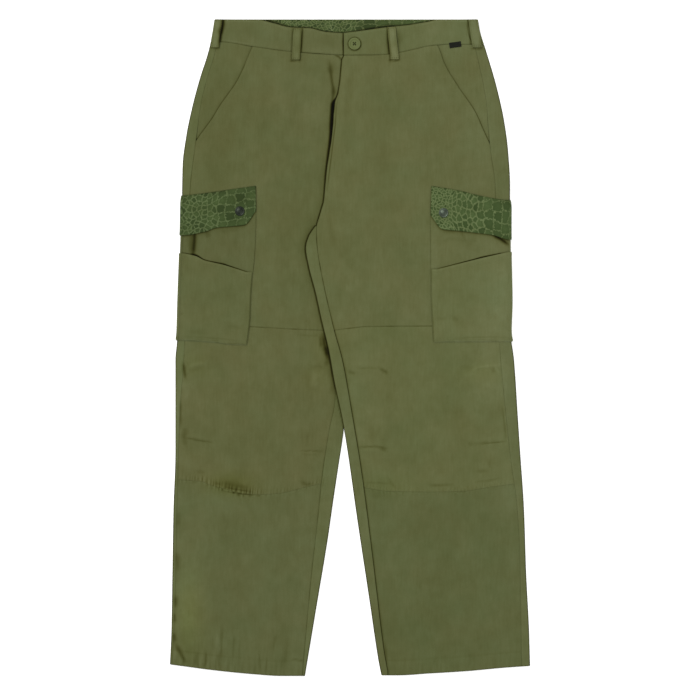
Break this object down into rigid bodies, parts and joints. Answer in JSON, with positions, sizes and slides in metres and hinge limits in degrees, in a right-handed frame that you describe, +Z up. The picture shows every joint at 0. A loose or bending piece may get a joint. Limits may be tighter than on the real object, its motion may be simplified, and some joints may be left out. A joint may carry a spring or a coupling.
{
  "type": "cargo pants",
  "caption": "Cotton cargo pants laid out flat, front up, with flapped leg pockets, slash pockets and a buttoned waistband.",
  "frame": {"origin": "middle of the footprint, on the surface that the pants lie on", "axes": "+Y from the hems towards the waistband, +Z up out of the front of the pants, +X towards the wearer's left leg"},
  "size_m": [0.5754, 1.05, 0.0119],
  "materials": {
    "twill": "matt olive cotton twill",
    "print": "matt cotton twill printed with a green reptile scale pattern",
    "button": "satin olive resin",
    "snap": "gunmetal plated press stud",
    "tab": "black woven tape",
    "zip": "dark green zip tape"
  },
  "bodies": {
    "root": {"front_thigh_right": "twill", "front_thigh_left": "twill", "knee_panel_right": "twill", "knee_panel_left": "twill", "shin_panel_right": "twill", "shin_panel_left": "twill", "back_panel_right": "twill", "back_panel_left": "twill", "hip_piece_right": "twill", "hip_piece_left": "twill", "waistband_right": "twill", "waistband_left": "twill", "waistband_facing": "print", "cargo_pocket_right": "twill", "cargo_pocket_left": "twill", "slip_pocket_right": "twill", "slip_pocket_left": "twill", "cargo_flap_right": "print", "cargo_flap_left": "print", "snap_cap_right": "snap", "snap_cap_left": "snap", "belt_loop_front_right": "twill", "belt_loop_front_left": "twill", "belt_loop_side_right": "twill", "belt_loop_side_left": "twill", "waist_button": "button", "waist_tab": "tab", "fly_zip": "zip"}
  },
  "joints": []
}
